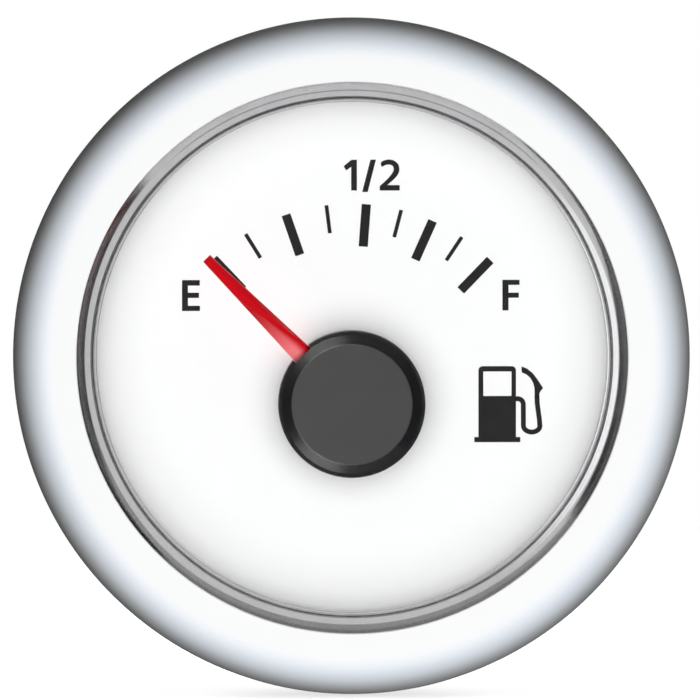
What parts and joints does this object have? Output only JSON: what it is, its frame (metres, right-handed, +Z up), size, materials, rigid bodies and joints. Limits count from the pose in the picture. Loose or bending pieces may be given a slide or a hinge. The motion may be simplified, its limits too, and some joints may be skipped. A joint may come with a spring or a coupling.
{
  "type": "fuel gauge",
  "caption": "Round panel-mount fuel level gauge with white bezel, printed dial, red pointer on a geared stepper movement, threaded housing and clamp ring",
  "frame": {"origin": "centre of the panel cutout, in the plane where the mounting seal meets the front of the panel", "axes": "+X to the right seen from the front, +Y from the dial into the panel, +Z up"},
  "size_m": [0.059, 0.0452, 0.059],
  "materials": {
    "white_paint": "smooth white moulded bezel with a satin gloss",
    "glass": "clear flat lens",
    "rubber": "black elastomer",
    "grey_trim": "grey metallic lacquer, glossy",
    "black_plastic": "black moulded plastic",
    "dial_white": "printed white dial film on a stiff sheet",
    "clear_plastic": "clear acrylic light guide",
    "white_plastic": "natural white moulded plastic",
    "signal_red": "translucent red pointer",
    "board_green": "green solder mask over glass fibre board",
    "chip_black": "black moulded component body",
    "tinned_brass": "tin plated contacts",
    "steel": "plain steel",
    "copper": "enamelled copper winding",
    "magnet": "sintered ferrite",
    "amber_plastic": "natural amber moulding"
  },
  "bodies": {
    "root": {"bezel_ring": "white_paint", "buffer_capacitor": "steel", "circuit_board": "board_green", "contact_carrier": "black_plastic", "contact_pin_1": "tinned_brass", "contact_pin_2": "tinned_brass", "contact_pin_3": "tinned_brass", "contact_pin_4": "tinned_brass", "contact_pin_5": "tinned_brass", "contact_pin_6": "tinned_brass", "contact_pin_7": "tinned_brass", "contact_pin_8": "tinned_brass", "dial_plate": "dial_white", "driver_chip": "chip_black", "housing": "black_plastic", "input_diode": "chip_black", "led_1": "amber_plastic", "led_2": "amber_plastic", "led_3": "amber_plastic", "led_4": "amber_plastic", "left_bobbin": "amber_plastic", "left_coil": "copper", "lens": "glass", "lens_gasket": "rubber", "light_guide": "clear_plastic", "motor_pin_1": "tinned_brass", "motor_pin_2": "tinned_brass", "motor_pin_3": "tinned_brass", "motor_pin_4": "tinned_brass", "mounting_seal": "rubber", "movement_case": "black_plastic", "movement_cover": "white_plastic", "reflector_frame": "white_plastic", "right_bobbin": "amber_plastic", "right_coil": "copper", "stator_core": "steel", "trim_ring": "grey_trim", "voltage_regulator": "chip_black"},
    "rotor": {"rotor_magnet": "magnet", "rotor_pinion": "white_plastic"},
    "layshaft": {"layshaft_gear": "white_plastic"},
    "pointer": {"pointer_blade": "signal_red", "pointer_cap": "black_plastic", "output_shaft": "steel", "output_wheel": "white_plastic"},
    "clamp": {"clamp_ring": "black_plastic"}
  },
  "joints": [
    {"name": "rotor_spin", "type": "hinge", "parent": "root", "child": "rotor", "pos_m": [0, 0, 0.00786], "axis": [0, 1, 0], "range_deg": [0, 3844.8]},
    {"name": "layshaft_turn", "type": "hinge", "parent": "root", "child": "layshaft", "pos_m": [0.00464, 0, 0.00262], "axis": [0, 1, 0], "range_deg": [-641, 0]},
    {"name": "pointer_turn", "type": "hinge", "parent": "root", "child": "pointer", "pos_m": [0, 0, -0.00414], "axis": [0, 1, 0], "range_deg": [0, 89.1]},
    {"name": "clamp_slide", "type": "slide", "parent": "root", "child": "clamp", "axis": [0, 1, 0], "range_m": [-0.0045, 0.009]}
  ],
  "couplings": [
    {"joint": "layshaft_turn", "follows": "rotor_spin", "ratio": -0.16667},
    {"joint": "pointer_turn", "follows": "rotor_spin", "ratio": 0.023148}
  ]
}
